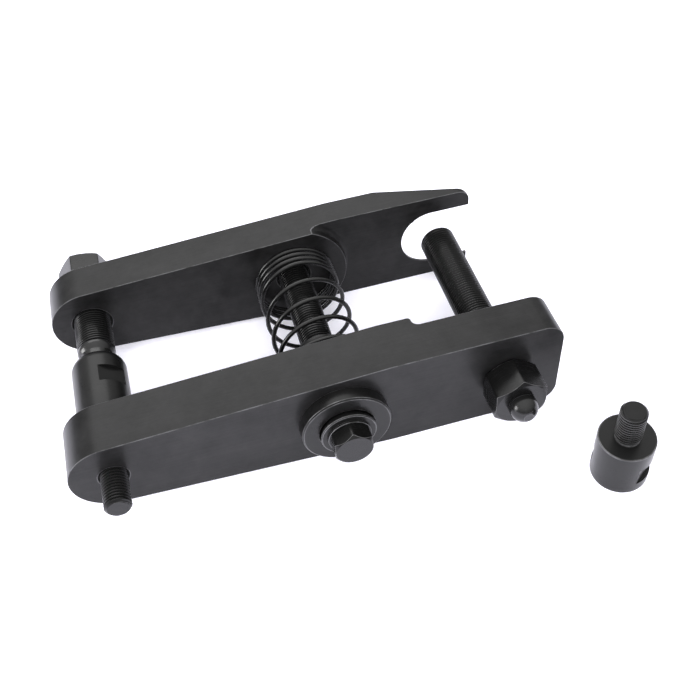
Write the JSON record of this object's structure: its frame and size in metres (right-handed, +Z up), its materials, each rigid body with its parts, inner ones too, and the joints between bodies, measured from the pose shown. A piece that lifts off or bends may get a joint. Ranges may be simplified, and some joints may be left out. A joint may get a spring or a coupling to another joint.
{
  "type": "ball joint separator",
  "caption": "Two-arm screw press for parting tapered ball joints, with a centre bolt, coil return spring, forcing screw, pressure screw and spare thrust foot.",
  "frame": {"origin": "on the surface that the set stands on, below the middle of its overall box", "axes": "+X along the arms from the forcing end to the fork, +Y from the press arm to the fork arm, +Z up"},
  "size_m": [0.2498, 0.195, 0.052],
  "materials": {
    "arm_black": "black oxide, dark satin, edges slightly polished",
    "turned_black": "black oxide over turned steel, satin",
    "screw_black": "black oxide, oiled threads",
    "nose_black": "hardened, dark, slightly polished",
    "spring_black": "black spring wire, semi-gloss",
    "ring_steel": "spring steel wire",
    "ball_steel": "polished bearing ball"
  },
  "bodies": {
    "press_side": {"press_arm": "arm_black", "dished_washer": "turned_black", "guide_collar": "turned_black", "thrust_foot": "turned_black"},
    "swivel": {"spherical_washer": "turned_black"},
    "fork_side": {"fork_arm": "arm_black", "return_spring": "spring_black"},
    "bolt": {"centre_bolt": "screw_black"},
    "nose": {"forcing_nose": "nose_black", "thrust_ball": "ball_steel", "nose_ring": "ring_steel"},
    "forcing": {"forcing_screw": "screw_black"},
    "pin": {"thrust_pin": "nose_black", "pin_ring": "ring_steel"},
    "pressure": {"pressure_screw": "screw_black"},
    "spare": {"spare_foot": "turned_black"}
  },
  "joints": [
    {"name": "arm_rock", "type": "hinge", "parent": "press_side", "child": "swivel", "pos_m": [-0.0025, -0.05034, 0.026], "axis": [0, 0, 1], "range_deg": [-3, 3]},
    {"name": "gap_travel", "type": "slide", "parent": "swivel", "child": "fork_side", "axis": [0, 1, 0], "range_m": [0, 0.012], "deforming": ["return_spring"]},
    {"name": "bolt_turn", "type": "hinge", "parent": "swivel", "child": "bolt", "pos_m": [-0.0025, 0, 0.026], "axis": [0, 1, 0], "continuous": true},
    {"name": "forcing_travel", "type": "slide", "parent": "fork_side", "child": "nose", "axis": [0, -1, 0], "range_m": [-0.0052, 0.0052]},
    {"name": "forcing_turn", "type": "hinge", "parent": "nose", "child": "forcing", "pos_m": [-0.1055, 0, 0.026], "axis": [0, -1, 0], "continuous": true},
    {"name": "press_travel", "type": "slide", "parent": "press_side", "child": "pin", "axis": [0, 1, 0], "range_m": [-0.04, 0.0007]},
    {"name": "press_turn", "type": "hinge", "parent": "pin", "child": "pressure", "pos_m": [0.0755, 0, 0.026], "axis": [0, 1, 0], "continuous": true},
    {"name": "spare_lift", "type": "slide", "parent": "press_side", "child": "spare", "axis": [0, 0, 1], "range_m": [0, 0.05]}
  ],
  "couplings": [
    {"joint": "arm_rock", "follows": "forcing_travel", "rad_per_m": -9.7087},
    {"joint": "bolt_turn", "follows": "gap_travel", "rad_per_m": -4188.8},
    {"joint": "forcing_turn", "follows": "forcing_travel", "rad_per_m": 4188.8},
    {"joint": "press_turn", "follows": "press_travel", "rad_per_m": 4188.8}
  ]
}
